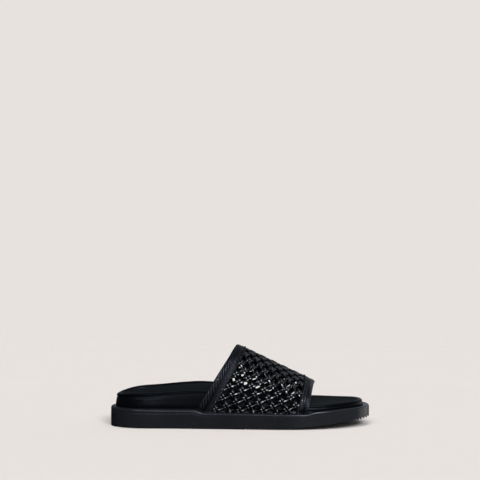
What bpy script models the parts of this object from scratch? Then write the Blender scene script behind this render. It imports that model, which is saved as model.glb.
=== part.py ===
# A backless slide for the right foot: moulded rubber outsole, wrapped footbed, laid-in insole and one
# woven band. The toe points along +X, the outer side of the foot is -Y. Sizes are in millimetres, and
# places along the shoe are measured from the back of the heel.
import math
from collections import namedtuple

import bmesh
import bpy
import numpy as np
from mathutils import Vector

MM = 0.001
GAP = 0.3

# Outline of the outsole: half widths on each side of the line from heel end to toe tip
SOLE_LENGTH = 264.0
STATIONS = 42
HEEL_ROUND = 37.0
HEEL_POWER = 2.15
TOE_ROUND = {"lateral": 82.0, "medial": 56.0}
TOE_POWER = {"lateral": 2.15, "medial": 2.5}
Width = namedtuple("Width", "along lateral medial")
WIDTHS = [
    Width(0, 33.5, 34.5),
    Width(40, 35.0, 35.5),
    Width(80, 37.0, 35.0),
    Width(115, 40.2, 35.6),
    Width(150, 43.6, 39.2),
    Width(185, 46.8, 44.2),
    Width(215, 47.6, 46.4),
    Width(264, 45.0, 45.0),
]

# Outsole: height of the ledge over the bottom, how far its shoulder drops to the wall, toe spring
TOE_SPRING = 9.3
SPRING_START = 170.0
SPRING_POWER = 1.3
BOTTOM_CHAMFER = 1.0
LEDGE_WIDTH = 5.8
LEDGE_UNDER = 3.0
Ledge = namedtuple("Ledge", "along height shoulder")
LEDGES = [
    Ledge(0, 20.0, 4.0),
    Ledge(50, 19.8, 4.2),
    Ledge(90, 19.6, 4.0),
    Ledge(150, 18.9, 3.4),
    Ledge(182, 17.7, 2.8),
    Ledge(205, 15.6, 2.5),
    Ledge(235, 14.1, 2.5),
    Ledge(264, 12.0, 2.2),
]

# Section of the shoulder from the wall up: an upright lip, a tight round edge, then a nearly flat ledge;
# drops are shares of its drop
Edge = namedtuple("Edge", "inset drop")
SHOULDER = [Edge(0, 1.0), Edge(0.08, 0.55), Edge(0.6, 0.26), Edge(1.7, 0.1), Edge(5.0, 0.02)]

# Recess of the ledge where the band goes in: its depths, how far it reaches past the band behind and in
# front, and the lengths of its two slopes
RECESS_REAR = 2.9
RECESS_FRONT = 2.2
RECESS_LEAD = 3.0
RECESS_TAIL = 8.0
RECESS_RAMP_IN = 11.5
RECESS_RAMP_OUT = 12.0
BAND_REAR = {"lateral": 88.0, "medial": 97.2}
BAND_FRONT = {"lateral": 200.4, "medial": 199.6}

# Cross grooves of the tread, that run out through the sole's edge on both sides
GROOVE_PITCH = 3.1
GROOVE_WIDTH = 1.3
GROOVE_DEPTH = 1.2
GROOVE_OVER = 6.0
Zone = namedtuple("Zone", "start end")
GROOVE_ZONES = [Zone(8.0, 85.0), Zone(138.0, 262.0)]

# Footbed: rim heights over the floor on each side, and the floor of its basin
WALL_FOOT = 0.6
WALL_DRAFT = 1.1
RIM_ROUND = 1.8
RIM_WIDTH = 2.4
BOWL_POWER = 3.2
SPINE_HEEL = 34.0
SPINE_TOE = 222.0
Bed = namedtuple("Bed", "along lateral medial basin")
BEDS = [
    Bed(6, 32.4, 32.4, 27.8),
    Bed(25, 34.6, 36.6, 27.4),
    Bed(50, 35.5, 38.7, 27.6),
    Bed(75, 37.1, 41.0, 28.8),
    Bed(95, 38.0, 41.7, 29.0),
    Bed(125, 34.6, 38.8, 27.0),
    Bed(160, 28.4, 31.0, 23.4),
    Bed(190, 25.0, 26.4, 21.8),
    Bed(212, 24.2, 25.5, 21.6),
    Bed(235, 25.6, 25.1, 22.8),
    Bed(258, 26.6, 26.3, 24.2),
]

# Insole: thin sheet laid in a pocket of the basin, reaching a share of the way out to the rim
INSOLE_THICKNESS = 1.2
INSOLE_REACH = 0.93
INSOLE_PLAY = 0.6
BASIN_REACHES = (0.72, 0.4)

# Band: its ridge over the foot, and how its sections fall from there to the sole on each side. The two
# edges of the band lean back faster than its weave: a power of the fall, 1 from a share of the length on
BAND_INSET = 2.7
BAND_WALL = 2.5
SIDE_POWER = 3.0
TOP_POWER = 2.0
LEAN_REAR = 0.91
LEAN_FRONT = 0.42
LEAN_SHARE = 0.1
SECTION_STEPS = 60
SLOPE_STEP = 0.01
Ridge = namedtuple("Ridge", "share along height side")
RIDGES = [
    Ridge(0.0, 128.8, 81.6, 1.0),
    Ridge(0.07, 133.4, 80.1, 1.1),
    Ridge(0.25, 147.0, 73.6, 1.4),
    Ridge(0.6, 175.6, 59.8, 1.9),
    Ridge(1.0, 209.2, 43.8, 2.5),
]

# Borders: width at the ridge, and from a distance around it down the sides
Border = namedtuple("Border", "ridge side")
BORDER_REAR = Border(7.9, 10.0)
BORDER_FRONT = Border(9.3, 7.2)
BORDER_REACH = 70.0

# Weave: a grid of columns around the band and rows along it; pairs of strips cross at every second
# grid point and leave a hole at the others
WEAVE_ROWS = 12
COLUMN_PITCH = {"lateral": 6.86, "medial": 7.88}
COLUMNS = 30
RIDGE_COLUMN = 16.53
STRIP_SHARE = 0.48
STRIP_RISE = 0.6
GROOVE_DROP = 0.35
DOT_DROP = 0.6
BORDER_LINES = 3
PLAIT_HIGH = 0.9
PLAIT_LOW = 0.2
BORDER_EDGE = -0.2
BLOCK_REACH = 12.0
BLOCK_DEPTH = 60.0

Finish = namedtuple("Finish", "name colour roughness")
FINISHES = {
    "outsole": Finish("outsole rubber", (0.012, 0.012, 0.014), 0.55),
    "footbed": Finish("footbed leather", (0.010, 0.010, 0.012), 0.42),
    "insole": Finish("insole leather", (0.016, 0.014, 0.014), 0.55),
    "upper": Finish("woven leather", (0.010, 0.010, 0.013), 0.32),
}


def follow(rows, column, place):
    """Smooth value of a table's column at a place of its first column."""
    places = [row[0] for row in rows]
    values = [getattr(row, column) for row in rows]
    last = len(rows) - 1
    place = min(max(place, places[0]), places[last])
    low = min(max(i for i in range(last + 1) if places[i] <= place), last - 1)

    def slope(i):
        before = max(i - 1, 0)
        after = min(i + 1, last)
        return (values[after] - values[before]) / (places[after] - places[before])

    span = places[low + 1] - places[low]
    t = (place - places[low]) / span
    start = (1 + 2 * t) * (1 - t) ** 2 * values[low] + t * (1 - t) ** 2 * span * slope(low)
    end = t * t * (3 - 2 * t) * values[low + 1] + t * t * (t - 1) * span * slope(low + 1)
    return start + end


def half_width(along, side):
    """Half width of the outsole on one side, rounded off at heel and toe."""
    width = follow(WIDTHS, side, along)
    heel = 1 - along / HEEL_ROUND
    if heel > 0:
        width *= max(1 - heel**HEEL_POWER, 0) ** (1 / HEEL_POWER)
    toe = 1 - (SOLE_LENGTH - along) / TOE_ROUND[side]
    if toe > 0:
        width *= max(1 - toe ** TOE_POWER[side], 0) ** (1 / TOE_POWER[side])
    return width


def outline():
    """Points of the outsole's outline and their inward directions: lateral heel to toe, medial back."""
    places = [SOLE_LENGTH * (1 - math.cos(math.pi * i / STATIONS)) / 2 for i in range(STATIONS + 1)]
    lateral = [(x, -half_width(x, "lateral")) for x in places]
    medial = [(x, half_width(x, "medial")) for x in reversed(places[1:-1])]
    points = np.array(lateral + medial)
    run = np.roll(points, -1, axis=0) - np.roll(points, 1, axis=0)
    inward = np.stack([-run[:, 1], run[:, 0]], axis=1)
    return points, inward / np.linalg.norm(inward, axis=1)[:, None]


OUTLINE, INWARD = outline()
COUNT = len(OUTLINE)
SIDES = ["lateral" if k <= STATIONS else "medial" for k in range(COUNT)]
SHIFT = Vector((-SOLE_LENGTH / 2, -(OUTLINE[:, 1].max() + OUTLINE[:, 1].min()) / 2, 0))


def spring(along):
    return TOE_SPRING * max((along - SPRING_START) / (SOLE_LENGTH - SPRING_START), 0) ** SPRING_POWER


def ledge(along):
    return spring(along) + follow(LEDGES, "height", along)


def ease(value):
    value = min(max(value, 0), 1)
    return value * value * (3 - 2 * value)


def recess(along, side):
    """Depth of the ledge's recess under the band."""
    rear = BAND_REAR[side]
    front = BAND_FRONT[side]
    share = (along - rear) / (front - rear)
    depth = RECESS_REAR + (RECESS_FRONT - RECESS_REAR) * min(max(share, 0), 1)
    ramp_in = ease((along - rear + RECESS_LEAD) / RECESS_RAMP_IN)
    ramp_out = ease((front + RECESS_TAIL - along) / RECESS_RAMP_OUT)
    return depth * ramp_in * ramp_out


def ring(inset, height):
    """Outline moved inwards, each point at a height worked out from its place and side."""
    flat = OUTLINE + INWARD * inset
    return [(x, y, height(x, side)) for (x, y), side in zip(flat, SIDES)]


def shoulder(along, side, drop):
    """Height of the shoulder at a share of its drop."""
    return ledge(along) - recess(along, side) - follow(LEDGES, "shoulder", along) * drop


def shoulder_rings(lift):
    """Rings of the shoulder from the wall up to the ledge."""
    rings = []
    for edge in SHOULDER:
        rings.append(ring(edge.inset, lambda x, side, drop=edge.drop: shoulder(x, side, drop) + lift))
    return rings


def ladder(count):
    """Faces that close a ring by joining its lateral points to the medial ones across from them."""
    half = count // 2
    faces = [(0, 1, count - 1)]
    faces += [(i, i + 1, count - i - 1, count - i) for i in range(1, half - 1)]
    faces.append((half - 1, half, half + 1))
    return faces


def finish_mesh(name, mesh, collection):
    bmesh.ops.recalc_face_normals(mesh, faces=mesh.faces)
    data = bpy.data.meshes.new(name)
    mesh.to_mesh(data)
    mesh.free()
    thing = bpy.data.objects.new(name, data)
    collection.objects.link(thing)
    return thing


def place(point):
    return (Vector(point) + SHIFT) * MM


def solid_of_rings(name, rings, collection):
    """Closed solid through rings of equal count, closed across its first and last ring."""
    mesh = bmesh.new()
    loops = [[mesh.verts.new(place(p)) for p in points] for points in rings]
    for low, high in zip(loops, loops[1:]):
        for k in range(COUNT):
            after = (k + 1) % COUNT
            mesh.faces.new((low[k], low[after], high[after], high[k]))
    for loop in (loops[0], loops[-1]):
        for corners in ladder(COUNT):
            mesh.faces.new([loop[k] for k in corners])
    return finish_mesh(name, mesh, collection)


def boxes(name, spans, collection):
    """One mesh of separate boxes, each given by its low and high corner."""
    mesh = bmesh.new()
    for low, high in spans:
        corner = place(low)
        size = place(high) - corner
        made = bmesh.ops.create_cube(mesh, size=1)["verts"]
        bmesh.ops.scale(mesh, vec=size, verts=made)
        bmesh.ops.translate(mesh, vec=corner + size / 2, verts=made)
    return finish_mesh(name, mesh, collection)


def cut(thing, cutter):
    """Gives a piece a modifier that takes a cutter away from it."""
    change = thing.modifiers.new("cut", "BOOLEAN")
    change.operation = "DIFFERENCE"
    change.solver = "EXACT"
    change.object = cutter


def outsole(collection, cutters):
    rings = [
        ring(BOTTOM_CHAMFER, lambda x, side: spring(x)),
        ring(0, lambda x, side: spring(x) + BOTTOM_CHAMFER),
        ring(0, lambda x, side: spring(x) + BOTTOM_CHAMFER + GROOVE_DEPTH),
    ]
    rings += shoulder_rings(0)
    rings.append(ring(LEDGE_WIDTH, lambda x, side: ledge(x)))
    rings.append(ring(LEDGE_WIDTH + LEDGE_UNDER, lambda x, side: ledge(x)))
    sole = solid_of_rings("outsole", rings, collection)
    spans = []
    for zone in GROOVE_ZONES:
        for step in range(int((zone.end - zone.start) / GROOVE_PITCH) + 1):
            x = zone.start + step * GROOVE_PITCH
            outer = -half_width(x, "lateral") - GROOVE_OVER
            inner = half_width(x, "medial") + GROOVE_OVER
            low = (x - GROOVE_WIDTH / 2, outer, spring(x) - GROOVE_WIDTH)
            spans.append((low, (x + GROOVE_WIDTH / 2, inner, spring(x) + GROOVE_DEPTH)))
    cut(sole, boxes("tread grooves", spans, cutters))
    return sole


def rim(along, side):
    return follow(BEDS, side, along)


CREST_INSET = LEDGE_WIDTH + WALL_DRAFT + RIM_WIDTH
CREST = OUTLINE + INWARD * CREST_INSET


def basin_ring(reach, drop):
    """Ring of the basin, a share of the way from the spine out to the rim's crest."""
    points = []
    for (x, y), side in zip(CREST, SIDES):
        spine_x = min(max(x, SPINE_HEEL), SPINE_TOE)
        spine_y = (half_width(spine_x, "medial") - half_width(spine_x, "lateral")) / 2
        at_x = spine_x + (x - spine_x) * reach
        at_y = spine_y + (y - spine_y) * reach
        floor = follow(BEDS, "basin", at_x)
        points.append((at_x, at_y, floor + (rim(x, side) - floor) * reach**BOWL_POWER - drop))
    return points


def footbed(collection):
    wall_inset = LEDGE_WIDTH + WALL_DRAFT
    corner = 1 - math.sqrt(0.5)
    rings = [
        ring(LEDGE_WIDTH + WALL_FOOT, lambda x, side: ledge(x) + GAP),
        ring(LEDGE_WIDTH, lambda x, side: ledge(x) + GAP + WALL_FOOT),
        ring(wall_inset, lambda x, side: rim(x, side) - RIM_ROUND),
        ring(wall_inset + RIM_WIDTH * corner, lambda x, side: rim(x, side) - RIM_ROUND * corner),
        ring(CREST_INSET, rim),
        basin_ring(INSOLE_REACH, 0),
        basin_ring(INSOLE_REACH, INSOLE_THICKNESS + GAP),
    ]
    rings += [basin_ring(reach, INSOLE_THICKNESS + GAP) for reach in BASIN_REACHES]
    return solid_of_rings("footbed", rings, collection)


def insole(collection):
    """Sheet laid in the footbed's pocket, a gap clear of its floor and its edge."""
    edge = INSOLE_REACH * (1 - INSOLE_PLAY / WIDTHS[0].lateral)
    below = [basin_ring(reach, INSOLE_THICKNESS) for reach in (*reversed(BASIN_REACHES), edge)]
    above = [basin_ring(reach, 0) for reach in (edge, *BASIN_REACHES)]
    return solid_of_rings("insole", below + above, collection)


def lean(share):
    """Power of the fall that moves a section back: lower at the band's rear and front edge."""
    rear = max(1 - share / LEAN_SHARE, 0)
    front = max(1 - (1 - share) / LEAN_SHARE, 0)
    return 1 - (1 - LEAN_REAR) * rear - (1 - LEAN_FRONT) * front


def band_section(share, side):
    """Outer line of the band's section on one side, from the ridge down to the ledge, and its lengths."""
    top = np.array([follow(RIDGES, column, share) for column in ("along", "side", "height")])
    foot_x = BAND_REAR[side] + (BAND_FRONT[side] - BAND_REAR[side]) * share
    foot_z = ledge(foot_x) - recess(foot_x, side)
    sign = -1 if side == "lateral" else 1
    foot_y = sign * (half_width(foot_x, side) - BAND_INSET)
    turns = np.linspace(0, math.pi / 2, SECTION_STEPS)
    fall = 1 - np.cos(turns) ** (2 / SIDE_POWER)
    fall[-1] = 1
    out = np.sin(turns) ** (2 / TOP_POWER)
    back = fall ** lean(share)
    line = top + (np.array([foot_x, foot_y, foot_z]) - top) * np.stack([back, out, fall], axis=1)
    lengths = np.concatenate([[0], np.cumsum(np.linalg.norm(np.diff(line, axis=0), axis=1))])
    return line, lengths


def band_point(around, share):
    """Point of the band's outer face: distance around from the ridge, lateral below zero, and share along."""
    line, lengths = band_section(share, "lateral" if around < 0 else "medial")
    reach = abs(around)
    point = np.array([np.interp(reach, lengths, line[:, axis]) for axis in range(3)])
    beyond = reach - lengths[-1]
    if beyond > 0:
        run = line[-1] - line[0]
        point += np.array([run[0], 0, run[2]]) / math.hypot(run[0], run[2]) * beyond
    return Vector(point)


def border_share(around, border):
    """Share of the band's length that a border takes at a distance around from the ridge."""
    width = border.ridge + (border.side - border.ridge) * min(abs(around) / BORDER_REACH, 1)
    return width / (band_point(around, 1) - band_point(around, 0)).length


def around_at(column):
    """Distance around from the ridge of a column of the weave."""
    return (column - RIDGE_COLUMN) * COLUMN_PITCH["lateral" if column < RIDGE_COLUMN else "medial"]


class Weave:
    """Wall of the band on a grid of columns around it and rows along it, with its strips raised."""

    def __init__(self):
        self.mesh = bmesh.new()
        self.made = {}

    def point(self, column, row, lift, outer):
        """Vertex at a grid place; rows below 0 and above the last lie in the borders, up to one row out."""
        key = (round(column, 4), round(row, 4), outer)
        if key not in self.made:
            around = around_at(column)
            rear = border_share(around, BORDER_REAR)
            front = border_share(around, BORDER_FRONT)
            if row < 0:
                share = rear * (1 + row)
            elif row > WEAVE_ROWS:
                share = 1 - front * (1 - row + WEAVE_ROWS)
            else:
                share = rear + (1 - rear - front) * row / WEAVE_ROWS
            before = max(share - SLOPE_STEP, 0)
            after = min(share + SLOPE_STEP, 1)
            along = band_point(around, after) - band_point(around, before)
            across = band_point(around + 1, share) - band_point(around - 1, share)
            normal = along.cross(across).normalized()
            spot = band_point(around, share) + normal * (lift if outer else -BAND_WALL)
            self.made[key] = self.mesh.verts.new(place(spot))
        return self.made[key]

    def face(self, corners):
        self.mesh.faces.new(corners)

    def edge_points(self, crossing, hole, outer):
        """Vertices on a grid edge from a crossing of strips to a hole's middle, without the hole's middle."""
        (c, r), (hc, hr) = crossing, hole
        share = STRIP_SHARE
        points = [self.point(c, r, -DOT_DROP, outer)]
        if outer:
            points.append(self.point(c + (hc - c) * share / 2, r + (hr - r) * share / 2, STRIP_RISE, outer))
        points.append(self.point(c + (hc - c) * share, r + (hr - r) * share, 0, outer))
        return points

    def half_tile(self, first, second, hole, filled):
        """The strip between two crossings, on the side of one hole."""
        dot_a, rise_a, edge_a = self.edge_points(first, hole, True)
        dot_b, rise_b, edge_b = self.edge_points(second, hole, True)
        run = (second[0] - first[0], second[1] - first[1])
        half = STRIP_SHARE / 2
        seam_a = self.point(first[0] + run[0] * half, first[1] + run[1] * half, -GROOVE_DROP, True)
        seam_b = self.point(second[0] - run[0] * half, second[1] - run[1] * half, -GROOVE_DROP, True)
        self.face((dot_a, seam_a, rise_a))
        self.face((rise_a, seam_a, edge_a))
        self.face((edge_a, seam_a, seam_b, edge_b))
        self.face((edge_b, seam_b, rise_b))
        self.face((rise_b, seam_b, dot_b))
        under_a, inner_a = self.edge_points(first, hole, False)
        under_b, inner_b = self.edge_points(second, hole, False)
        self.face((under_a, under_b, inner_b, inner_a))
        if filled:
            self.face((edge_a, edge_b, self.point(*hole, -GROOVE_DROP, True)))
            self.face((inner_a, inner_b, self.point(*hole, 0, False)))
        else:
            self.face((edge_a, edge_b, inner_b, inner_a))

    def tile(self, column, row):
        corners = [(column, row), (column + 1, row), (column + 1, row + 1), (column, row + 1)]
        crossings = [c for c in corners if (c[0] + c[1]) % 2]
        for hole in corners:
            if (hole[0] + hole[1]) % 2 == 0:
                filled = hole[1] in (0, WEAVE_ROWS) or hole[0] in (0, COLUMNS)
                self.half_tile(*crossings, hole, filled)

    def grid_line(self, start, end, outer):
        """Vertices along a grid edge on the weave's rim, both ends included."""
        if (start[0] + start[1]) % 2:
            return [*self.edge_points(start, end, outer), self.point(*end, 0, outer)]
        return list(reversed([*self.edge_points(end, start, outer), self.point(*start, 0, outer)]))

    def border_point(self, column, line, front, outer):
        """Vertex of a border, line 0 at the band's edge."""
        row = line / BORDER_LINES
        lift = BORDER_EDGE
        if line:
            lift = PLAIT_HIGH if (column + line) % 2 else PLAIT_LOW
        return self.point(column, WEAVE_ROWS + 1 - row if front else row - 1, lift, outer)

    def border(self, column, front):
        """One column of a plaited border, closed at the band's edge."""
        weave_row = WEAVE_ROWS if front else 0
        for outer in (True, False):
            inner_line = self.grid_line((column, weave_row), (column + 1, weave_row), outer)
            lines = range(BORDER_LINES) if outer else (0,)
            pairs = [[self.border_point(c, k, front, outer) for c in (column, column + 1)] for k in lines]
            for low, high in zip(pairs, pairs[1:]):
                self.face((low[0], low[1], high[1], high[0]))
            self.face((*reversed(inner_line), *pairs[-1]))
        rim = [self.border_point(c, 0, front, outer) for outer in (True, False) for c in (column, column + 1)]
        self.face((rim[0], rim[1], rim[3], rim[2]))

    def end(self, column):
        """Closes the wall at its first or last column."""
        for row in range(WEAVE_ROWS):
            outer = self.grid_line((column, row), (column, row + 1), True)
            inner = self.grid_line((column, row), (column, row + 1), False)
            self.face((*outer, *reversed(inner)))
        for front in (False, True):
            weave_row = WEAVE_ROWS if front else 0
            outer = [self.border_point(column, k, front, True) for k in range(BORDER_LINES)]
            inner = [self.border_point(column, 0, front, False)]
            corner = [self.point(column, weave_row, 0, layer) for layer in (True, False)]
            self.face((*outer, *corner, *inner))


def clearance_block(cutters):
    """The outsole's upper side and a gap over it, reaching out and down past the band."""
    low = ring(-BLOCK_REACH, lambda x, side: -BLOCK_DEPTH)
    edge = ring(-BLOCK_REACH, lambda x, side: shoulder(x, side, SHOULDER[0].drop) + GAP)
    inner = ring(LEDGE_WIDTH, lambda x, side: ledge(x) + GAP)
    return solid_of_rings("band clearance", [low, edge, *shoulder_rings(GAP), inner], cutters)


def upper(collection, cutters):
    weave = Weave()
    for column in range(COLUMNS):
        for row in range(WEAVE_ROWS):
            weave.tile(column, row)
        weave.border(column, False)
        weave.border(column, True)
    weave.end(0)
    weave.end(COLUMNS)
    band = finish_mesh("upper", weave.mesh, collection)
    cut(band, clearance_block(cutters))
    return band


def material(finish):
    made = bpy.data.materials.new(finish.name)
    made.use_nodes = True
    shader = made.node_tree.nodes["Principled BSDF"]
    shader.inputs["Base Color"].default_value = (*finish.colour, 1)
    shader.inputs["Roughness"].default_value = finish.roughness
    shader.inputs["Metallic"].default_value = 0
    return made


def new_collection(name):
    made = bpy.data.collections.new(name)
    bpy.context.scene.collection.children.link(made)
    return made


for old in list(bpy.data.objects):
    bpy.data.objects.remove(old)
shoe = new_collection("woven slide")
tools = new_collection("cutters")
pieces = [outsole(shoe, tools), footbed(shoe), insole(shoe), upper(shoe, tools)]
for piece in pieces:
    piece.data.materials.append(material(FINISHES[piece.name]))
for cutter in tools.objects:
    cutter.hide_render = True
    cutter.display_type = "WIRE"
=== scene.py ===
# Woven leather slide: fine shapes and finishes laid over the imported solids
import math

import bmesh
import bpy
import numpy as np
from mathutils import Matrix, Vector, kdtree


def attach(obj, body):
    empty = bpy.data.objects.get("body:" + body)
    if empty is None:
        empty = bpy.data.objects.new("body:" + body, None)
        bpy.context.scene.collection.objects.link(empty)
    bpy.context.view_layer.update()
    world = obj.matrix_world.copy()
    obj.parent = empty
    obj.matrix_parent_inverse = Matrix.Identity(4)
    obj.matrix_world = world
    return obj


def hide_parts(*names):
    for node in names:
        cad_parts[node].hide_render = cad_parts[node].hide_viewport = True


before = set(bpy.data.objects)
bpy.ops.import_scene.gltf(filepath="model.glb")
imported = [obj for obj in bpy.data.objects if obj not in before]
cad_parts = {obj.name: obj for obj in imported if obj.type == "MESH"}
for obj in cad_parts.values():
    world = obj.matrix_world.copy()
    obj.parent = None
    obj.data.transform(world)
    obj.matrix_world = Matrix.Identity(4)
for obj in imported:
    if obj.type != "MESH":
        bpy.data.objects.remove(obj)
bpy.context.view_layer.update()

scene = bpy.context.scene
rng = np.random.default_rng(11)  # a fixed seed, so that each run is the same
print("frame loaded:", sorted(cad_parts))

# plan and heights of the sole in mm, measured from the back of the heel, as in the solids
sole = {
    "length": 264.0,
    "stations": 110,  # points along each side
    "heelRound": 37.0,
    "heelPower": 2.15,
    "toeRound": {"lateral": 82.0, "medial": 56.0},
    "toePower": {"lateral": 2.15, "medial": 2.5},
    "widths": [  # along, lateral, medial
        (0, 33.5, 34.5), (40, 35.0, 35.5), (80, 37.0, 35.0), (115, 40.2, 35.6),
        (150, 43.6, 39.2), (185, 46.8, 44.2), (215, 47.6, 46.4), (264, 45.0, 45.0),
    ],
    "toeSpring": 9.3,
    "springStart": 170.0,
    "springPower": 1.3,
    "ledges": [  # along, height, height of the lip
        (0, 20.0, 4.0), (50, 19.8, 4.2), (90, 19.6, 4.0), (150, 18.9, 3.4),
        (182, 17.7, 2.8), (205, 15.6, 2.5), (235, 14.1, 2.5), (264, 12.0, 2.2),
    ],
    "lip": [  # inset, share of the lip's height: a rounded face, a tight edge, a nearly flat ledge
        (0.1, 0.95), (0, 0.8), (0.02, 0.64), (0.11, 0.48), (0.3, 0.34), (0.65, 0.22), (1.2, 0.14),
        (2.2, 0.08), (3.6, 0.04), (5.0, 0.02),
    ],
    "crease": [  # depth below the lip, inset at the heel
        (1.7, 0), (1.1, 0), (0.75, 0.03), (0.5, 0.14), (0.3, 0.34),
    ],
    "creaseFade": (45.0, 110.0),  # where the crease starts and ends running out
    "spine": (34.0, 222.0),  # ends of the middle line
    "ledgeWidth": 5.8,
    "ledgeUnder": 3.0,  # how far the flat ledge goes on under the footbed
    "bottomRound": 0.3,
    "bottomSteps": 3,
    "recessRear": 2.9,
    "recessFront": 2.2,
    "recessPast": (3.0, 8.0),  # how far the recess reaches past the band, behind and in front
    "recessRamp": (11.5, 12.0),  # lengths of its rear and front slope
    "groovePitch": 3.1,
    "grooveWidth": 1.5,
    "grooveDepth": 1.4,
    "grooveOver": 6.0,  # how far a groove runs out past both edges
    "grooveZones": [(8.0, 85.0), (138.0, 262.0)],
    "smoothAngle": 35.0,
}
sideColumn = {"lateral": 1, "medial": 2}
bandFoot = {"lateral": (88.0, 200.4), "medial": (97.2, 199.6)}  # where the band's edges meet the sole


def follow(rows, column, spot):  # smooth value of a table at a place of its first column
    places = [row[0] for row in rows]
    values = [row[column] for row in rows]
    last = len(rows) - 1
    spot = min(max(spot, places[0]), places[last])
    low = min(max(i for i in range(last + 1) if places[i] <= spot), last - 1)
    slopes = []
    for i in (low, low + 1):
        before, after = max(i - 1, 0), min(i + 1, last)
        slopes.append((values[after] - values[before]) / (places[after] - places[before]))
    span = places[low + 1] - places[low]
    t = (spot - places[low]) / span
    start = (1 + 2 * t) * (1 - t) ** 2 * values[low] + t * (1 - t) ** 2 * span * slopes[0]
    return start + t * t * (3 - 2 * t) * values[low + 1] + t * t * (t - 1) * span * slopes[1]


def ease(value):
    value = np.clip(value, 0, 1)
    return value * value * (3 - 2 * value)


def halfWidth(along, side):
    width = follow(sole["widths"], sideColumn[side], along)
    heel = 1 - along / sole["heelRound"]
    if heel > 0:
        width *= max(1 - heel ** sole["heelPower"], 0) ** (1 / sole["heelPower"])
    toe = 1 - (sole["length"] - along) / sole["toeRound"][side]
    if toe > 0:
        power = sole["toePower"][side]
        width *= max(1 - toe**power, 0) ** (1 / power)
    return width


def springAt(along):
    share = max((along - sole["springStart"]) / (sole["length"] - sole["springStart"]), 0)
    return sole["toeSpring"] * share ** sole["springPower"]


def ledgeAt(along):
    return springAt(along) + follow(sole["ledges"], 1, along)


def recessAt(along, side):  # dip of the ledge where the band goes in
    rear, front = bandFoot[side]
    share = min(max((along - rear) / (front - rear), 0), 1)
    depth = sole["recessRear"] + (sole["recessFront"] - sole["recessRear"]) * share
    (lead, tail), (rampIn, rampOut) = sole["recessPast"], sole["recessRamp"]
    return depth * ease((along - rear + lead) / rampIn) * ease((front + tail - along) / rampOut)


count = sole["stations"]
stations = [sole["length"] * (1 - math.cos(math.pi * i / count)) / 2 for i in range(count + 1)]
outline = [(x, -halfWidth(x, "lateral")) for x in stations]
outline += [(x, halfWidth(x, "medial")) for x in reversed(stations[1:-1])]
outline = np.array(outline)
sides = ["lateral" if k <= count else "medial" for k in range(len(outline))]
run = np.roll(outline, -1, axis=0) - np.roll(outline, 1, axis=0)
inward = np.stack([-run[:, 1], run[:, 0]], axis=1)
inward /= np.linalg.norm(inward, axis=1)[:, None]
middle = (outline[:, 1].max() + outline[:, 1].min()) / 2
shift = np.array([-sole["length"] / 2, -middle, 0])
millimetre = 0.001
loftSet = {"startRadius": 0.1, "sameSpot": 2e-7, "mergeWithin": 1e-6}  # metres


def metres(points):
    return (np.asarray(points, float) + shift) * millimetre


def outlineRing(inset, height):  # outline moved in by a number or inset(x), each point at height(x, side)
    insets = np.array([inset(x) if callable(inset) else inset for x in outline[:, 0]])
    flat = outline + inward * insets[:, None]
    return metres([(x, y, height(x, side)) for (x, y), side in zip(flat, sides)])


def spineLine(height):  # a ring closed up to a line along the sole's middle
    xs = np.clip(outline[:, 0], *sole["spine"])
    mids = [(halfWidth(x, "medial") - halfWidth(x, "lateral")) / 2 for x in xs]
    return metres([(x, y, height(x)) for x, y in zip(xs, mids)])


def extrudeTo(piece, fromRing, toRing):  # pulls the ring of edges at fromRing out to toRing
    bpy.ops.mesh.select_all(action="DESELECT")
    edit = bmesh.from_edit_mesh(piece.data)
    tree = kdtree.KDTree(len(fromRing))
    for k, point in enumerate(fromRing):
        tree.insert(point, k)
    tree.balance()
    for vert in edit.verts:
        vert.select = tree.find(vert.co)[2] < loftSet["sameSpot"]
    edit.select_flush(True)
    bmesh.update_edit_mesh(piece.data)
    bpy.ops.mesh.extrude_region_move()
    edit = bmesh.from_edit_mesh(piece.data)
    for vert in edit.verts:
        if vert.select:
            vert.co = toRing[tree.find(vert.co)[1]]
    bmesh.update_edit_mesh(piece.data)


def loftPiece(name, rings, lowLine, highLine):  # a circle pulled up ring by ring, closed at both ends
    bpy.ops.object.select_all(action="DESELECT")
    bpy.ops.mesh.primitive_circle_add(vertices=len(rings[0]), radius=loftSet["startRadius"])
    piece = bpy.context.object
    piece.name = piece.data.name = name
    for vert, point in zip(piece.data.vertices, rings[0]):
        vert.co = point
    piece.location = (0, 0, 0)
    bpy.ops.object.mode_set(mode="EDIT")
    bpy.ops.mesh.select_mode(type="VERT")
    for low, high in zip(rings, [*rings[1:], highLine]):
        extrudeTo(piece, low, high)
    extrudeTo(piece, rings[0], lowLine)
    bpy.ops.mesh.select_all(action="SELECT")
    bpy.ops.mesh.remove_doubles(threshold=loftSet["mergeWithin"])
    bpy.ops.mesh.normals_make_consistent(inside=False)
    bpy.ops.object.mode_set(mode="OBJECT")
    return piece


def smooth(piece, degrees):
    bpy.ops.object.select_all(action="DESELECT")
    piece.select_set(True)
    bpy.context.view_layer.objects.active = piece
    bpy.ops.object.shade_smooth_by_angle(angle=math.radians(degrees))


def finishPiece(piece, node, material):
    piece.data.materials.clear()
    piece.data.materials.append(material)
    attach(piece, "root")
    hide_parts(node)
    print(piece.name, "made,", len(piece.data.polygons), "faces")


def hexLinear(code):
    values = [int(code[i : i + 2], 16) / 255 for i in (1, 3, 5)]
    return [v / 12.92 if v <= 0.04045 else ((v + 0.055) / 1.055) ** 2.4 for v in values] + [1.0]


def addNode(tree, kind, settings=None, links=None):
    node = tree.nodes.new(kind)
    for key, value in (settings or {}).items():
        if isinstance(key, int) or key in node.inputs:
            node.inputs[key].default_value = value
        else:
            setattr(node, key, value)
    for key, source in (links or {}).items():
        tree.links.new(source, node.inputs[key])
    return node


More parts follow.
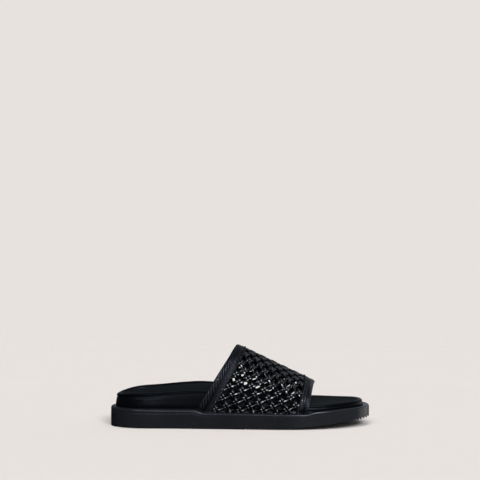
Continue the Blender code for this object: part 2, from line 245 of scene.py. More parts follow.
def perMm(size):  # pattern scale that repeats every size mm on Object coordinates
    return 1 / (size * millimetre)


patternSet = {
    "waveDetail": 3.0,
    "waveRange": (0.3, 0.7),  # part of the noise that tones and roughness are spread over
    "raisedRange": (0.55, 0.9),  # heights on a strip where its polish starts and is full
}


def makeMaterial(name, look):  # two tones, roughness and a slow bump from one noise, fine bump from another
    material = bpy.data.materials.new(name)
    material.use_nodes = True
    tree = material.node_tree
    shader = tree.nodes["Principled BSDF"]
    for key, value in look["sockets"].items():
        shader.inputs[key].default_value = value
    place = addNode(tree, "ShaderNodeTexCoord").outputs["Object"]
    wave = addNode(
        tree,
        "ShaderNodeTexNoise",
        {"Scale": perMm(look["wave"]), "Detail": patternSet["waveDetail"]},
        {"Vector": place},
    )
    grain = addNode(tree, "ShaderNodeTexVoronoi", {"Scale": perMm(look["grain"])}, {"Vector": place})
    low, high = patternSet["waveRange"]
    spread = addNode(
        tree, "ShaderNodeMapRange", {"From Min": low, "From Max": high}, {"Value": wave.outputs["Fac"]}
    )
    tone = spread.outputs["Result"]
    if "attribute" in look:
        tone = addNode(tree, "ShaderNodeAttribute", {"attribute_name": look["attribute"]}).outputs["Fac"]
    dark, light = [hexLinear(code) for code in look["tones"]]
    # inputs 6 and 7 and output 2 of a Mix node are its colours
    colour = addNode(tree, "ShaderNodeMix", {"data_type": "RGBA", 6: dark, 7: light}, {0: tone})
    low, high = look["rough"]
    rough = addNode(
        tree, "ShaderNodeMapRange", {"To Min": low, "To Max": high}, {"Value": spread.outputs["Result"]}
    )
    soft = addNode(
        tree,
        "ShaderNodeBump",
        {"Strength": look["softBump"], "Distance": look["softDepth"] * millimetre},
        {"Height": wave.outputs["Fac"]},
    )
    fine = addNode(
        tree,
        "ShaderNodeBump",
        {"Strength": look["fineBump"], "Distance": look["fineDepth"] * millimetre},
        {"Height": grain.outputs["Distance"], "Normal": soft.outputs["Normal"]},
    )
    tree.links.new(colour.outputs[2], shader.inputs["Base Color"])
    tree.links.new(rough.outputs["Result"], shader.inputs["Roughness"])
    tree.links.new(fine.outputs["Normal"], shader.inputs["Normal"])
    if "polish" in look:
        raised = addNode(tree, "ShaderNodeAttribute", {"attribute_name": "raised"}).outputs["Fac"]
        low, high = patternSet["raisedRange"]
        for socket, (least, most) in look["polish"].items():
            polish = addNode(
                tree,
                "ShaderNodeMapRange",
                {"From Min": low, "From Max": high, "To Min": least, "To Max": most},
                {"Value": raised},
            )
            tree.links.new(polish.outputs["Result"], shader.inputs[socket])
    return material


# moulded rubber: a dark even skin off a smooth mould with a faint grain, that mirrors the lights weakly
rubberLook = {
    "tones": ("#111214", "#131416"),
    "rough": (0.19, 0.23),
    "wave": 22.0,
    "softBump": 0.1,
    "softDepth": 0.3,
    "grain": 0.55,  # drawn coarser than the real 0.1 mm, so that it shows
    "fineBump": 0.12,
    "fineDepth": 0.08,
    "sockets": {"IOR": 1.5, "Specular IOR Level": 0.36, "Specular Tint": hexLinear("#eaf0ff")},
}
# calf leather wrapped over foam: tight fine pores, soft satin, slow waviness where it is stretched
wrapLook = {
    "tones": ("#030405", "#040507"),
    "rough": (0.3, 0.36),
    "wave": 11.0,
    "softBump": 0.12,
    "softDepth": 0.4,
    "grain": 0.9,  # drawn coarser than real pores of 0.3 mm, so that it shows
    "fineBump": 0.3,
    "fineDepth": 0.08,
    "sockets": {"IOR": 1.5, "Specular IOR Level": 0.06, "Specular Tint": hexLinear("#eaf0ff")},
}
# buffed sock leather: finer pores and a drier face, so that it stays dull deep inside
sockLook = {
    "tones": ("#080b0c", "#0b0e0f"),
    "rough": (0.6, 0.7),
    "wave": 16.0,
    "softBump": 0.2,
    "softDepth": 0.4,
    "grain": 0.6,  # drawn coarser than real pores of 0.2 mm, so that it shows
    "fineBump": 0.3,
    "fineDepth": 0.06,
    "sockets": {"IOR": 1.5, "Specular IOR Level": 0.07},
}
# polished strip leather: flat narrow lace, waxed, so each raised crossing throws a small hard glint
stripLook = {
    "tones": ("#010102", "#040506"),
    "attribute": "strandTone",
    "rough": (0.26, 0.38),
    "wave": 1.6,
    "softBump": 0.25,
    "softDepth": 0.2,
    "grain": 0.45,  # drawn coarser than real pores of 0.2 mm, so that it shows
    "fineBump": 0.2,
    "fineDepth": 0.05,
    "sockets": {
        "IOR": 1.5,
        "Specular Tint": hexLinear("#eaf0ff"),
        "Coat Roughness": 0.12,
        "Coat IOR": 1.5,
    },
    "polish": {"Specular IOR Level": (0.02, 0.08), "Coat Weight": (0.12, 0.95)},
}
# satin plait leather: the same lace without wax, so that strands only shine softly where they rise
plaitLook = {
    **stripLook,
    "rough": (0.34, 0.44),
    "sockets": {"IOR": 1.5, "Specular Tint": hexLinear("#eaf0ff")},
    "polish": {"Specular IOR Level": (0.15, 0.44)},
}


def lipAt(along, side, drop):  # height on the lip at a share of it below the ledge
    return ledgeAt(along) - recessAt(along, side) - follow(sole["ledges"], 2, along) * drop


def creaseAt(along):  # share of the crease that is left at a place
    start, end = sole["creaseFade"]
    return 1 - ease((along - start) / (end - start))


# outsole: rings from the rounded lower edge up over the wall and the lip to the ledge
rings = []
for step in range(sole["bottomSteps"] + 1):  # rounded lower edge
    turn = math.pi / 2 * step / sole["bottomSteps"]
    rings.append(
        outlineRing(
            sole["bottomRound"] * (1 - math.sin(turn)),
            lambda x, side: springAt(x) + sole["bottomRound"] * (1 - math.cos(turn)),
        )
    )
rings.append(outlineRing(0, lambda x, side: springAt(x) + sole["bottomRound"] + sole["grooveDepth"]))
rings.append(outlineRing(0, lambda x, side: (springAt(x) + lipAt(x, side, 1)) / 2))
for below, inset in sole["crease"]:
    rings.append(outlineRing(lambda x: inset * creaseAt(x), lambda x, side: lipAt(x, side, 1) - below))
for inset, drop in sole["lip"]:
    rings.append(outlineRing(inset, lambda x, side: lipAt(x, side, drop)))
rings.append(outlineRing(sole["ledgeWidth"], lambda x, side: ledgeAt(x)))
rings.append(outlineRing(sole["ledgeWidth"] + sole["ledgeUnder"], lambda x, side: ledgeAt(x)))
outsole = loftPiece("outsole_unit", rings, spineLine(springAt), spineLine(ledgeAt))

# tread: a bar for each cross groove, cut out of the unit together
bpy.ops.object.select_all(action="DESELECT")
bars = []
for start, end in sole["grooveZones"]:
    for step in range(int((end - start) / sole["groovePitch"]) + 1):
        x = start + step * sole["groovePitch"]
        outer = -halfWidth(x, "lateral") - sole["grooveOver"]
        inner = halfWidth(x, "medial") + sole["grooveOver"]
        spot = metres([(x, (outer + inner) / 2, springAt(x))])[0]
        size = np.array([sole["grooveWidth"], inner - outer, 2 * sole["grooveDepth"]]) * millimetre
        bpy.ops.mesh.primitive_cube_add(size=1, location=spot, scale=size)
        bars.append(bpy.context.object)
for bar in bars:
    bar.select_set(True)
bpy.ops.object.join()
bars = bpy.context.object
cut = outsole.modifiers.new("grooves", "BOOLEAN")
cut.operation = "DIFFERENCE"
cut.object = bars
cut.solver = "EXACT"
bpy.context.view_layer.objects.active = outsole
bpy.ops.object.modifier_apply(modifier="grooves")
bpy.data.objects.remove(bars)
smooth(outsole, sole["smoothAngle"])
finishPiece(outsole, "outsole", makeMaterial("moulded rubber", rubberLook))

# footbed: a wall with a rolled rim, and a basin that holds the insole
bed = {
    "gap": 0.3,
    "foot": 0.6,
    "footRound": (0.15, 0.25),  # inset and height halfway round the wall's lower edge
    "draft": 1.1,
    "wallShares": (0.35, 0.7),  # where the plain wall has its rings
    "wallEnd": 2.9,  # depth of its upper end below the rim's bead
    "rimRound": 1.8,
    "rimWidth": 2.4,
    "rimSteps": 9,
    "rimStart": -30.0,
    "tuckRings": [(0.1, 2.3), (0.75, 1.7), (1.0, 1.2)],  # share of the tuck, depth below the rim's bead
    "heelOut": 1.1,  # how much further out the wall stands round the heel
    "heelReach": (22.0, 60.0),
    "tuck": (1.2, 0.25),  # how far the wall pulls in under the rolled rim, at the heel and further on
    "bowlPower": 3.2,
    "rimReaches": (0.985, 0.97, 0.95),  # rings down the inside of the rim
    "sockReach": 0.93,  # edge of the insole's pocket
    "pocketReaches": (0.72, 0.4),
    "sockThickness": 1.2,
    "smoothAngle": 60.0,
    "rows": [  # along, lateral rim, medial rim, basin
        (6, 32.4, 32.4, 27.8), (25, 34.6, 36.6, 27.4), (50, 35.5, 38.7, 27.6), (75, 37.1, 41.0, 28.8),
        (95, 38.0, 41.7, 29.0), (125, 34.6, 38.8, 27.0), (160, 28.4, 31.0, 23.4), (190, 25.0, 26.4, 21.8),
        (212, 24.2, 25.5, 21.6), (235, 25.6, 25.1, 22.8), (258, 26.6, 26.3, 24.2),
    ],
}


def rimAt(along, side):
    return follow(bed["rows"], sideColumn[side], along)


crestInset = sole["ledgeWidth"] + bed["draft"] + bed["rimWidth"]
crest = outline + inward * crestInset


def basinRing(reach, drop):  # a share of the way from the spine out to the rim's crest
    points = []
    for (x, y), side in zip(crest, sides):
        spineX = np.clip(x, *sole["spine"])
        spineY = (halfWidth(spineX, "medial") - halfWidth(spineX, "lateral")) / 2
        atX, atY = spineX + (x - spineX) * reach, spineY + (y - spineY) * reach
        floor = follow(bed["rows"], 3, atX)
        points.append((atX, atY, floor + (rimAt(x, side) - floor) * reach ** bed["bowlPower"] - drop))
    return metres(points)


def basinLine(drop):
    return spineLine(lambda x: follow(bed["rows"], 3, x) - drop)


def heelShare(along):
    start, end = bed["heelReach"]
    return 1 - ease((along - start) / (end - start))


def wallAt(along, share):  # inset of the wall at a share of its height
    return sole["ledgeWidth"] + bed["draft"] * share - bed["heelOut"] * heelShare(along)


def wallHeight(along, side, share):  # height on the plain wall
    low = ledgeAt(along) + bed["gap"] + bed["foot"]
    high = rimAt(along, side) - bed["rimRound"] - bed["wallEnd"]
    return low * (1 - share) + high * share


def tuckAt(along):
    heel, front = bed["tuck"]
    return front + (heel - front) * heelShare(along)


rings = []
for inset, height in ((bed["foot"], 0), bed["footRound"], (0, bed["foot"])):  # rounded lower edge
    rings.append(
        outlineRing(lambda x: wallAt(x, 0) + inset, lambda x, side: ledgeAt(x) + bed["gap"] + height)
    )
for share in bed["wallShares"]:
    rings.append(outlineRing(lambda x: wallAt(x, share), lambda x, side: wallHeight(x, side, share)))
for deep, down in bed["tuckRings"]:
    rings.append(
        outlineRing(
            lambda x: wallAt(x, 1) + tuckAt(x) * deep,
            lambda x, side: rimAt(x, side) - bed["rimRound"] - down,
        )
    )
for step in range(bed["rimSteps"] + 1):
    turn = math.radians(bed["rimStart"] + (90 - bed["rimStart"]) * step / bed["rimSteps"])
    rings.append(
        outlineRing(
            lambda x: wallAt(x, 1) + (crestInset - wallAt(x, 1)) * (1 - math.cos(turn)),
            lambda x, side: rimAt(x, side) + bed["rimRound"] * (math.sin(turn) - 1),
        )
    )
for reach in (*bed["rimReaches"], bed["sockReach"]):
    rings.append(basinRing(reach, 0))
pocket = bed["sockThickness"] + bed["gap"]
for reach in (bed["sockReach"], *bed["pocketReaches"]):
    rings.append(basinRing(reach, pocket))
underside = spineLine(lambda x: ledgeAt(x) + bed["gap"])
footbed = loftPiece("footbed_wrap", rings, underside, basinLine(pocket))
smooth(footbed, bed["smoothAngle"])
finishPiece(footbed, "footbed", makeMaterial("wrapped calf leather", wrapLook))

# insole: a thin sheet laid in the basin
sock = {
    "play": 0.35,  # gap to the pocket's edge
    "halfWidth": 34.0,  # about that of the basin, to turn the play into a share
    "under": (0.4, 0.72),  # shares of the way out to the rim
    "edge": [  # share in from the edge, depth below the face
        (0.006, bed["sockThickness"]), (0, 0.8), (0, 0.35), (0.006, 0.06), (0.02, 0),
    ],
    "face": (0.86, 0.79, 0.72, 0.62, 0.5, 0.37, 0.22),
    "smoothAngle": 60.0,
}
edge = bed["sockReach"] * (1 - sock["play"] / sock["halfWidth"])
rings = [basinRing(reach, bed["sockThickness"]) for reach in sock["under"]]
rings += [basinRing(edge - inset, depth) for inset, depth in sock["edge"]]
rings += [basinRing(reach, 0) for reach in sock["face"]]
insole = loftPiece("insole_sock", rings, basinLine(bed["sockThickness"]), basinLine(0))
smooth(insole, sock["smoothAngle"])
finishPiece(insole, "insole", makeMaterial("buffed sock leather", sockLook))

# band: the surface that the strips lie on, from ridge to foot on both sides
band = {
    "inset": 2.7,
    "sidePower": 3.0,
    "topPower": 2.0,
    "leanRear": 0.91,  # power of the fall that moves the band's edges back, 1 inside the weave
    "leanFront": 0.42,
    "leanShare": 0.1,
    "ridge": [  # share, along, side, height
        (0.0, 128.8, 1.0, 81.6), (0.07, 133.4, 1.1, 80.1), (0.25, 147.0, 1.4, 73.6),
        (0.6, 175.6, 1.9, 59.8), (1.0, 209.2, 2.5, 43.8),
    ],
    "borders": {"rear": (7.9, 10.0), "front": (9.3, 7.2)},  # width at the ridge, and down the sides
    "borderReach": 70.0,  # distance round from the ridge where a border has its side width
    "rows": 12,
    "columnPitch": (6.86, 7.88),  # mm round the band, on its outer and inner side
    "ridgeColumn": 16.53,
    "reach": 118.0,  # furthest distance round the band, past where it enters the sole
    "sink": 1.6,  # how far strips run on into the sole
    "footIn": 0.7,
    "footBend": 5.0,  # height over which they bend in
    "sectionPoints": 120,
    "gridShares": 121,  # points of the surface from the rear edge to the front one
    "gridArounds": 473,  # and round the band
    "gridEnd": 0.001,  # keeps the last point inside the last cell
    "leastRise": 0.01,  # stands in for the rise of a cord that lies level
    "smoothAngle": 60.0,
}
gridShares = np.linspace(0, 1, band["gridShares"])
gridArounds = np.linspace(-band["reach"], band["reach"], band["gridArounds"])


def leanAt(share):
    rear = max(1 - share / band["leanShare"], 0)
    front = max(1 - (1 - share) / band["leanShare"], 0)
    return 1 - (1 - band["leanRear"]) * rear - (1 - band["leanFront"]) * front


def bandSection(share, side):
    top = np.array([follow(band["ridge"], column, share) for column in (1, 2, 3)])
    rear, front = bandFoot[side]
    footX = rear + (front - rear) * share
    footZ = ledgeAt(footX) - recessAt(footX, side)
    footY = (halfWidth(footX, side) - band["inset"]) * (-1 if side == "lateral" else 1)
    turns = np.linspace(0, math.pi / 2, band["sectionPoints"])
    fall = 1 - np.clip(np.cos(turns), 0, 1) ** (2 / band["sidePower"])
    out = np.sin(turns) ** (2 / band["topPower"])
    back = fall ** leanAt(share)
    line = top + (np.array([footX, footY, footZ]) - top) * np.stack([back, out, fall], axis=1)
    return line, np.concatenate([[0], np.cumsum(np.linalg.norm(np.diff(line, axis=0), axis=1))])


bandGrid = np.zeros((len(gridShares), len(gridArounds), 3))
footReach = {"lateral": [], "medial": []}
for i, share in enumerate(gridShares):
    for side, pick in (("lateral", gridArounds < 0), ("medial", gridArounds >= 0)):
        line, lengths = bandSection(share, side)
        reach = np.abs(gridArounds[pick])
        spots = np.stack([np.interp(reach, lengths, line[:, axis]) for axis in range(3)], axis=1)
        down = (line[-1] - line[0]) * (1, 0, 1)
        beyond = np.clip(reach - lengths[-1], 0, None)
        bandGrid[i, pick] = spots + beyond[:, None] * down / np.linalg.norm(down)
        footReach[side].append(lengths[-1])
alongGrid = np.gradient(bandGrid, axis=0)
aroundGrid = np.gradient(bandGrid, axis=1)
normalGrid = np.cross(alongGrid, aroundGrid)
normalGrid /= np.linalg.norm(normalGrid, axis=2)[:, :, None]


def onGrid(grid, around, share):  # value of a grid between its points
    lastColumn, lastRow = len(gridArounds) - 1, len(gridShares) - 1
    columns = np.clip((around / band["reach"] + 1) / 2 * lastColumn, 0, lastColumn - band["gridEnd"])
    rows = np.clip(share * lastRow, 0, lastRow - band["gridEnd"])
    column, row = columns.astype(int), rows.astype(int)
    past, below = (columns - column)[:, None], (rows - row)[:, None]
    upper = grid[row, column] * (1 - past) + grid[row, column + 1] * past
    lower = grid[row + 1, column] * (1 - past) + grid[row + 1, column + 1] * past
    return upper * (1 - below) + lower * below


bandLengths = np.linalg.norm(bandGrid[-1] - bandGrid[0], axis=1)


def borderShare(around, border):
    ridge, side = band["borders"][border]
    width = ridge + (side - ridge) * np.minimum(np.abs(around) / band["borderReach"], 1)
    return width / np.interp(around, gridArounds, bandLengths)


def shareOf(around, row):  # share along the band of a row of the weave
    rear, front = borderShare(around, "rear"), borderShare(around, "front")
    return rear + (1 - rear - front) * row / band["rows"]


def footAt(around, share):  # distance round the band to where it enters the sole
    lateral = np.interp(share, gridShares, footReach["lateral"])
    medial = np.interp(share, gridShares, footReach["medial"])
    return np.where(around < 0, lateral, medial)


def insideSole(around, share):
    return np.abs(around) > footAt(around, share) + band["sink"]


def footTuck(around, share):  # how far strips bend in just above the sole
    return band["footIn"] * ease(1 - (footAt(around, share) - np.abs(around)) / band["footBend"])


def stripSection(shape):  # flat lace with rounded edges
    angles = (np.arange(shape["points"]) + 0.5) * 2 * math.pi / shape["points"]
    across = shape["width"] / 2 * np.sign(np.cos(angles)) * np.abs(np.cos(angles)) ** shape["square"]
    up = shape["thickness"] / 2 * np.sign(np.sin(angles)) * np.abs(np.sin(angles)) ** shape["square"]
    return across, up


def sweepStrips(name, paths, section):  # a path has a strip's arounds, shares, heights, rolls, widenings
    across, up = section
    n = len(across)
    points, faces, tones, raised = [], [], [], []
    base = 0
    for around, share, height, roll, wider in paths:
        normal = onGrid(normalGrid, around, share)
        centre = onGrid(bandGrid, around, share) + normal * (height - footTuck(around, share))[:, None]
        tangent = np.gradient(centre, axis=0)
        tangent /= np.linalg.norm(tangent, axis=1)[:, None]
        side = np.cross(normal, tangent)
        side /= np.linalg.norm(side, axis=1)[:, None]
        rise = np.cross(tangent, side)
        turnedSide = side * np.cos(roll)[:, None] + rise * np.sin(roll)[:, None]
        turnedRise = rise * np.cos(roll)[:, None] - side * np.sin(roll)[:, None]
        spread = wider[:, None, None] * turnedSide[:, None] * across[None, :, None]
        ring = centre[:, None] + spread + turnedRise[:, None] * up[None, :, None]
        points.append(ring.reshape(-1, 3))
        tones.append(np.full(ring.shape[0] * n, rng.random()))
        raised.append(np.repeat((height - height.min()) / max(np.ptp(height), band["leastRise"]), n))
        for i in range(len(ring) - 1):
            for j in range(n):
                k = (j + 1) % n
                low, high = base + i * n, base + (i + 1) * n
                faces.append((low + j, low + k, high + k, high + j))
        faces.append(tuple(base + j for j in reversed(range(n))))
        faces.append(tuple(base + (len(ring) - 1) * n + j for j in range(n)))
        base += ring.shape[0] * n
    mesh = bpy.data.meshes.new(name)
    mesh.from_pydata(metres(np.concatenate(points)).tolist(), [], faces)
    for attribute, values in (("strandTone", tones), ("raised", raised)):
        mesh.attributes.new(attribute, "FLOAT", "POINT").data.foreach_set("value", np.concatenate(values))
    piece = bpy.data.objects.new(name, mesh)
    scene.collection.objects.link(piece)
    smooth(piece, band["smoothAngle"])
    return piece


lacing = {
    "width": 2.45,
    "thickness": 1.5,
    "square": 0.5,  # power that squares the section: 1 is an ellipse
    "points": 12,
    "pair": 0.265,  # half the distance between the two strips of a pair, in columns
    "lift": 0.85,
    "arch": 1.3,  # power that shortens the top of each arch
    "depth": -0.75,  # middle of the weave under the band's outer face
    "tuck": -1.3,  # where strips run under the borders
    "tuckRows": 0.3,  # rows over which they dip there
    "overRows": 0.5,  # how far they run on under the borders
    "crossings": (-21, 57),  # numbers of the crossings along a strip, all over the band
    "pairs": (-15, 49),  # numbers of the pairs of strips
    "fewest": 4,  # rings in the shortest strip that is kept
    "nudge": 1e-9,  # keeps a ring that lies on a crossing on its own side
    "roll": 9.0,  # degrees that a strip may lean at a crossing
    "steps": (-1, -0.75, -0.52, -0.38, -0.24, -0.12, 0, 0.12, 0.24, 0.38, 0.52, 0.75),
}


def overUnder(distance):  # -1 at the crossing before a pair's middle, 1 at the one after it
    size, pair = np.abs(distance), lacing["pair"]
    near = np.sin(math.pi / 2 * size / pair)
    far = np.cos(math.pi / 2 * np.clip((size - pair) / (1 - pair), 0, 1)) ** lacing["arch"]
    return np.sign(distance) * np.where(size < pair, near, far)


def weavePaths():
    paths = []
    outerPitch, innerPitch = band["columnPitch"]
    first, last = lacing["crossings"]
    centres = np.arange(first, last, 2)
    alongs = np.sort(np.concatenate([centres + step for step in lacing["steps"]]))
    offset = alongs - (np.floor((alongs + lacing["nudge"]) / 2) * 2 + 1)
    for slope in (1, -1):
        for pair in range(*lacing["pairs"], 2):
            for sign in (-1, 1):
                line = pair + sign * lacing["pair"]
                column, row = (alongs + line) / 2, (line - alongs) / 2
                if slope < 0:
                    row = (alongs - line) / 2
                fromRidge = column - band["ridgeColumn"]
                pitch = np.where(fromRidge < 0, outerPitch, innerPitch)
                around = fromRidge * pitch
                share = np.clip(shareOf(around, row), 0, 1)
                keep = (row > -lacing["overRows"]) & (row < band["rows"] + lacing["overRows"])
                keep &= (np.abs(around) < band["reach"]) & ~insideSole(around, share)
                if keep.sum() < lacing["fewest"]:
                    continue
                lift = lacing["lift"] * sign * slope * overUnder(offset)
                inBorder = ease(1 - np.minimum(row, band["rows"] - row) / lacing["tuckRows"])
                height = (lacing["depth"] + lift) * (1 - inBorder) + lacing["tuck"] * inBorder
                knots = rng.normal(0, math.radians(lacing["roll"]) / 2, len(centres) * 2 + 1)
                roll = np.interp(alongs, np.arange(first, first + len(knots)), knots)
                wider = pitch / outerPitch
                paths.append([values[keep] for values in (around, share, height, roll, wider)])
    return paths


weave = sweepStrips("woven_strips", weavePaths(), stripSection(lacing))
finishPiece(weave, "upper", makeMaterial("polished strip leather", stripLook))

# plaited borders along the band's rear and front edge
plaiting = {
    "strands": 11,
    "width": 1.5,
    "thickness": 1.2,
    "square": 0.9,
    "points": 8,
    "period": 54.0,  # mm along the border for one strand to cross and come back
    "sharp": 0.96,  # how sharply a strand turns at the edges
    "overlap": 0.45,  # rows of the weave that the plait covers
    "lift": 0.45,
    "depth": -0.4,
    "steps": 62,  # rings in one period
    "ropeTwist": 4.6,  # mm for one turn of the rope along the inner edge
    "ropeRadius": 0.5,
    "ropeWide": 0.75,  # a rope strand's width against a plait strand's
    "ropeDepth": 0.35,
    "edgeIn": 0.6,
    "edgeDepth": -0.5,
    "edgeWide": 0.75,  # the edge cord's width, the same way
}
plaitArounds = np.arange(-band["reach"], band["reach"], plaiting["period"] / plaiting["steps"])
plaitLengths = np.interp(plaitArounds, gridArounds, bandLengths)  # of the band, from edge to edge


def borderPath(share, height, wide):  # the part of a strand that is above the sole
    keep = ~insideSole(plaitArounds, share)
    level = np.zeros(len(plaitArounds))
    return [values[keep] for values in (plaitArounds, share, level + height, level, level + wide)]


def innerEdge(front):
    return shareOf(plaitArounds, band["rows"] - plaiting["overlap"] if front else plaiting["overlap"])


def plaitPaths(front):  # strands that cross a border and come back
    paths = []
    edge, inner = float(front), innerEdge(front)
    swing = (np.abs(inner - edge) - plaiting["width"] / plaitLengths) / 2
    for strand in range(plaiting["strands"]):
        turn = plaitArounds / plaiting["period"] * 2 * math.pi + 2 * math.pi * strand / plaiting["strands"]
        aside = np.arcsin(plaiting["sharp"] * np.sin(turn)) / math.asin(plaiting["sharp"])
        height = plaiting["depth"] + plaiting["lift"] * np.sin(2 * turn)
        paths.append(borderPath((edge + inner) / 2 + aside * swing, height, 1.0))
    return paths


def ropePaths(front):  # two strands twisted along the inner edge
    paths = []
    for strand in (0, 1):
        turn = plaitArounds / plaiting["ropeTwist"] * 2 * math.pi + math.pi * strand
        share = innerEdge(front) + plaiting["ropeRadius"] * np.cos(turn) / plaitLengths
        height = plaiting["ropeDepth"] + plaiting["ropeRadius"] * np.sin(turn)
        paths.append(borderPath(share, height, plaiting["ropeWide"]))
    return paths


def edgePath(front):  # a cord sewn along the outer edge
    aside = plaiting["edgeIn"] / plaitLengths
    return borderPath(1 - aside if front else aside, plaiting["edgeDepth"], plaiting["edgeWide"])


paths = []
for front in (False, True):
    paths += [*plaitPaths(front), *ropePaths(front), edgePath(front)]
plait = sweepStrips("plaited_borders", paths, stripSection(plaiting))
finishPiece(plait, "upper", makeMaterial("satin plait leather", plaitLook))

# studio: pale painted floor, and a room with soft boxes that only shows in reflections and light
studio = {
    "backdrop": "#e7e2de",
    "room": "#dde6f0",
    "floor": "#cfc7bf",
    "floorSize": 6.0,
    "floorRough": 0.9,
    "fade": (0.5, 1.3),  # metres from the shoe where the floor starts and ends fading into the backdrop
    "front": 0.03,  # brightness of the room around the shoe
    "behind": 0.32,
    "depthRange": (-0.5, 0.5),  # where the room changes from one to the other, front to back
    "top": 0.5,
    "topRange": (0.4, 0.95),  # heights of the view where the ceiling starts and is full
    "aside": (-0.2, 0.2),  # where the room changes from its left to its right share
    "asideShares": (0.3, 1.5),
    "horizon": (-0.1, 0.02),  # heights of the view where the room is dark and full
    "boxes": [  # azimuth to the camera's right, elevation, half width, half height, brightness, colour
        (3, 16, 9, 6, 16.0, "#f1f5ff"),  # three small ones give the glints on the strips
        (20, 31, 11, 7, 42.0, "#f1f5ff"),
        (-28, 36, 9, 10, 6.0, "#f1f5ff"),
        (52, -10, 54, 14, 0.3, "#f4f1ec"),  # a dim low one lights the outsole's front wall
        (116, 2, 30, 14, 1.2, "#f4f1ec"),  # one at the side lights the toe
    ],
    "boxEdge": (1.12, 0.88),  # shares of a box's size where it is dark and full
    "leastAhead": 0.001,  # keeps the half of the room that faces away from a box dark
    "key": (-8, 50, 16.0, 2.0),  # azimuth, elevation, how wide it looks in degrees, strength
}
bpy.ops.object.select_all(action="DESELECT")
bpy.ops.mesh.primitive_plane_add(size=studio["floorSize"])
floor = bpy.context.object
floor.name = "floor"
paint = bpy.data.materials.new("painted floor")  # dead matt, so that it shows nothing but soft shadow
paint.use_nodes = True
tree = paint.node_tree
shader = tree.nodes["Principled BSDF"]
shader.inputs["Base Color"].default_value = hexLinear(studio["floor"])
shader.inputs["Roughness"].default_value = studio["floorRough"]
shader.inputs["Specular IOR Level"].default_value = 0.0
place = addNode(tree, "ShaderNodeTexCoord").outputs["Object"]
away = addNode(tree, "ShaderNodeVectorMath", {"operation": "LENGTH"}, {0: place}).outputs["Value"]
near, far = studio["fade"]
fade = addNode(
    tree,
    "ShaderNodeMapRange",
    {"From Min": near, "From Max": far, "To Min": 1.0, "To Max": 0.0},
    {"Value": away},
)
tree.links.new(fade.outputs["Result"], shader.inputs["Alpha"])
floor.data.materials.append(paint)
floor.visible_glossy = False  # the shoe's gloss shows the room and its lights, not the pale floor

world = bpy.data.worlds.new("studio")
scene.world = world
world.use_nodes = True
tree = world.node_tree
tree.nodes.clear()
direction = addNode(tree, "ShaderNodeTexCoord").outputs["Generated"]
axes = addNode(tree, "ShaderNodeSeparateXYZ", links={"Vector": direction})
ramps = {}  # brightness of the room along each axis of the view
for name, axis, (low, high), (least, most) in (
    ("depth", "Y", studio["depthRange"], (studio["front"], studio["behind"])),
    ("above", "Z", studio["topRange"], (0.0, studio["top"])),
    ("horizon", "Z", studio["horizon"], (0.0, 1.0)),
    ("aside", "X", studio["aside"], studio["asideShares"]),
):
    ramp = addNode(
        tree,
        "ShaderNodeMapRange",
        {"From Min": low, "From Max": high, "To Min": least, "To Max": most},
        {"Value": axes.outputs[axis]},
    )
    ramps[name] = ramp.outputs["Result"]
level = ramps["depth"]
for name, operation in (("above", "MAXIMUM"), ("horizon", "MULTIPLY"), ("aside", "MULTIPLY")):
    joined = addNode(tree, "ShaderNodeMath", {"operation": operation}, {0: level, 1: ramps[name]})
    level = joined.outputs["Value"]
room = addNode(tree, "ShaderNodeBackground", {"Color": hexLinear(studio["room"])}, {"Strength": level})
light = room.outputs["Background"]
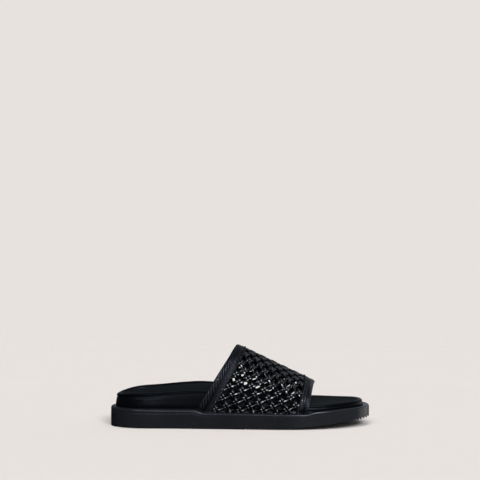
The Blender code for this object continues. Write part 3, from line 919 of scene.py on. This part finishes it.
for azimuth, elevation, halfWide, halfHigh, bright, colour in studio["boxes"]:
    turn, lift = math.radians(azimuth), math.radians(elevation)
    aim = Vector((math.sin(turn) * math.cos(lift), -math.cos(turn) * math.cos(lift), math.sin(lift)))
    right = Vector((math.cos(turn), math.sin(turn), 0)) / math.tan(math.radians(halfWide))
    up = Vector((-math.sin(turn) * math.sin(lift), math.cos(turn) * math.sin(lift), math.cos(lift)))
    up /= math.tan(math.radians(halfHigh))
    reaches = []  # how far the view goes ahead to the box, across it and up it
    for axis in (aim, right, up):
        dot = addNode(tree, "ShaderNodeVectorMath", {"operation": "DOT_PRODUCT", 1: axis}, {0: direction})
        reaches.append(dot.outputs["Value"])
    ahead = addNode(
        tree, "ShaderNodeMath", {"operation": "MAXIMUM", 1: studio["leastAhead"]}, {0: reaches[0]}
    )
    flat = addNode(tree, "ShaderNodeCombineXYZ", links={0: reaches[1], 1: reaches[2]})
    off = addNode(tree, "ShaderNodeVectorMath", {"operation": "LENGTH"}, {0: flat.outputs["Vector"]})
    ratio = addNode(
        tree,
        "ShaderNodeMath",
        {"operation": "DIVIDE"},
        {0: off.outputs["Value"], 1: ahead.outputs["Value"]},
    )
    outer, inner = studio["boxEdge"]
    shine = addNode(
        tree,
        "ShaderNodeMapRange",
        {"From Min": outer, "From Max": inner, "To Min": 0.0, "To Max": bright},
        {"Value": ratio.outputs["Value"]},
    )
    glow = addNode(
        tree, "ShaderNodeBackground", {"Color": hexLinear(colour)}, {"Strength": shine.outputs["Result"]}
    )
    both = addNode(tree, "ShaderNodeAddShader", links={0: light, 1: glow.outputs["Background"]})
    light = both.outputs["Shader"]
# the camera sees a plain backdrop, and all other rays see the room
shown = addNode(tree, "ShaderNodeBackground", {"Color": hexLinear(studio["backdrop"]), "Strength": 1.0})
ray = addNode(tree, "ShaderNodeLightPath")
mixed = addNode(
    tree,
    "ShaderNodeMixShader",
    links={0: ray.outputs["Is Camera Ray"], 1: light, 2: shown.outputs["Background"]},
)
addNode(tree, "ShaderNodeOutputWorld", links={"Surface": mixed.outputs["Shader"]})

azimuth, elevation, wide, bright = studio["key"]
bpy.ops.object.light_add(type="SUN", rotation=(math.radians(90 - elevation), 0, math.radians(azimuth)))
key = bpy.context.object
key.name = "key_light"
key.data.angle = math.radians(wide)
key.data.energy = bright
key.visible_glossy = False  # it only lights the shoe: the soft boxes are what shows in reflections

cameraSet = {
    "distance": 1.6,
    "elevation": 7.5,
    "tilt": 6.7745,  # degrees that it looks up past the origin
    "focalPixels": 1550.2,
    "imagePixels": 480,
    "sensor": 36.0,
    "clipEnd": 50.0,
}
lift = math.radians(cameraSet["elevation"])
spot = (0, -cameraSet["distance"] * math.cos(lift), cameraSet["distance"] * math.sin(lift))
bpy.ops.object.camera_add(location=spot)
camera = bpy.context.object
camera.rotation_euler = (math.radians(90 - cameraSet["elevation"] + cameraSet["tilt"]), 0, 0)
camera.data.sensor_width = cameraSet["sensor"]
camera.data.lens = cameraSet["sensor"] * cameraSet["focalPixels"] / cameraSet["imagePixels"]
camera.data.clip_end = cameraSet["clipEnd"]
scene.camera = camera
scene.view_settings.view_transform = "Standard"
print("studio set")
